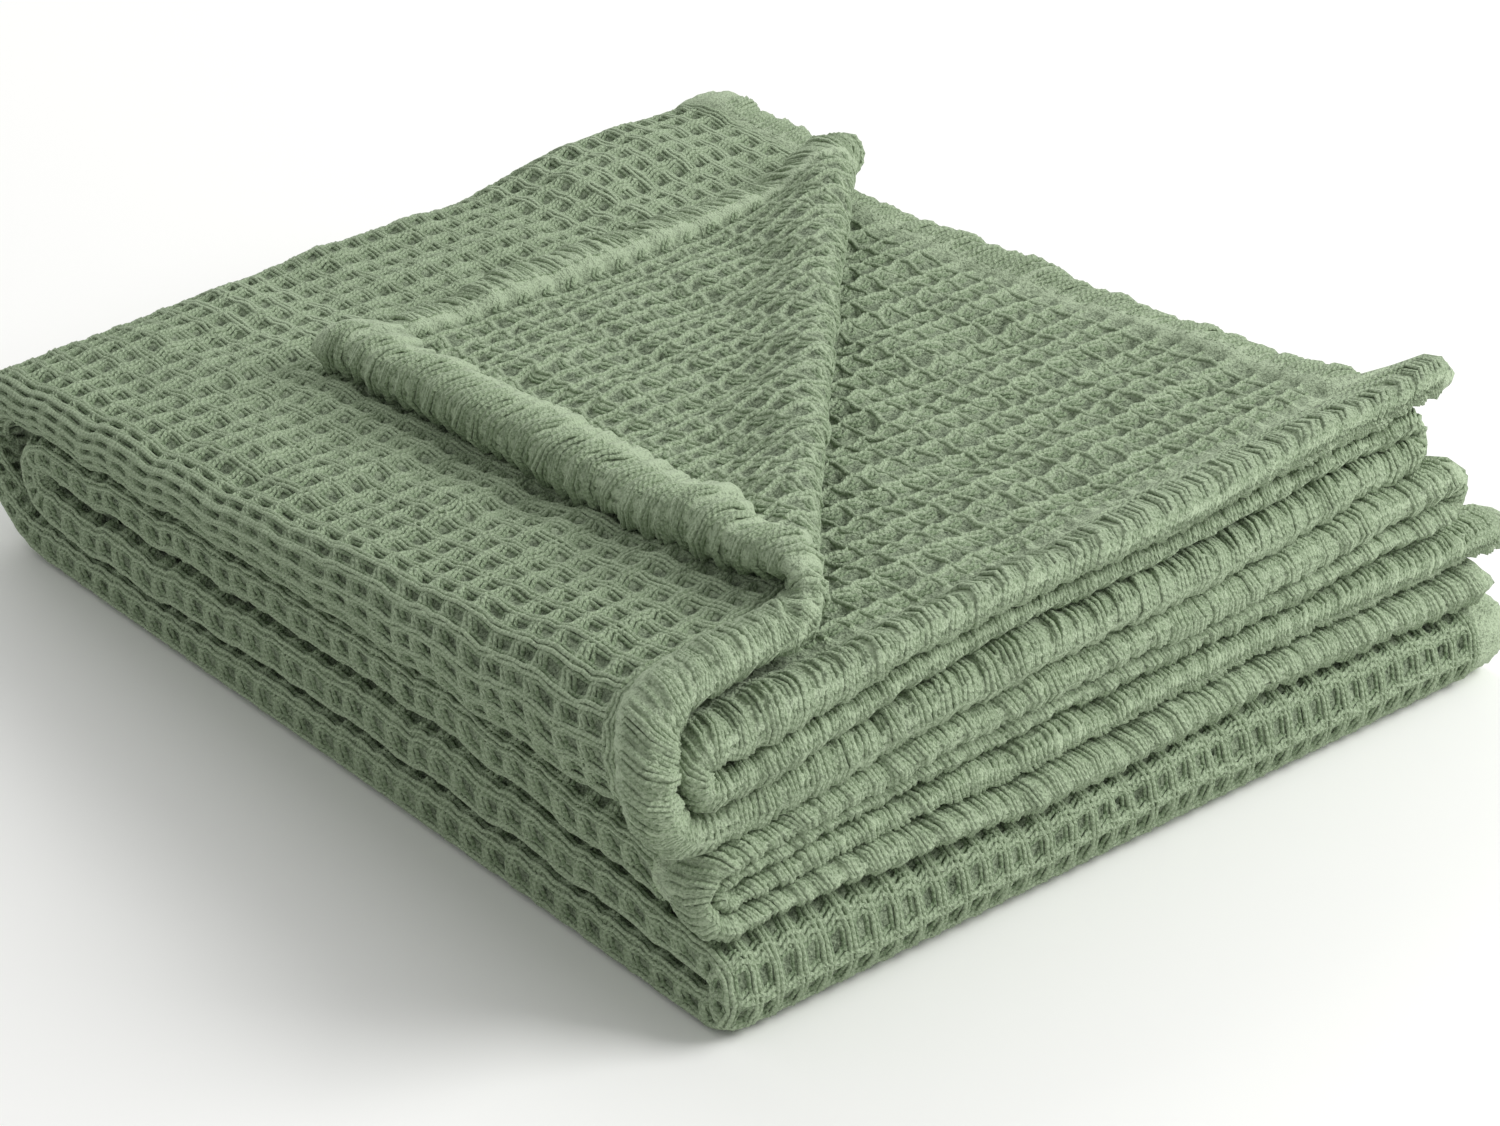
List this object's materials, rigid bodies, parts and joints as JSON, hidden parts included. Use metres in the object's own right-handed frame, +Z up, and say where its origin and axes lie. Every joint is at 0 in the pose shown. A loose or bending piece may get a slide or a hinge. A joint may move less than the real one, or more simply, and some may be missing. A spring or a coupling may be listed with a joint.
{
  "type": "folded waffle-weave throw blanket",
  "caption": "Cotton waffle-weave throw folded into a thick stack with rounded folds, padded hems at one face and one corner of the top layer turned back.",
  "frame": {"origin": "middle of the footprint, on the surface the folded throw rests on", "axes": "+Z up, +X from the rounded fold side to the free ends of the cloth, +Y from the stacked front hems to the back fold"},
  "size_m": [0.3598, 0.4144, 0.123],
  "materials": {
    "cotton_waffle": "matte, soft brushed cotton yarn in a deep waffle weave"
  },
  "bodies": {
    "root": {"folded_throw": "cotton_waffle"}
  },
  "joints": []
}
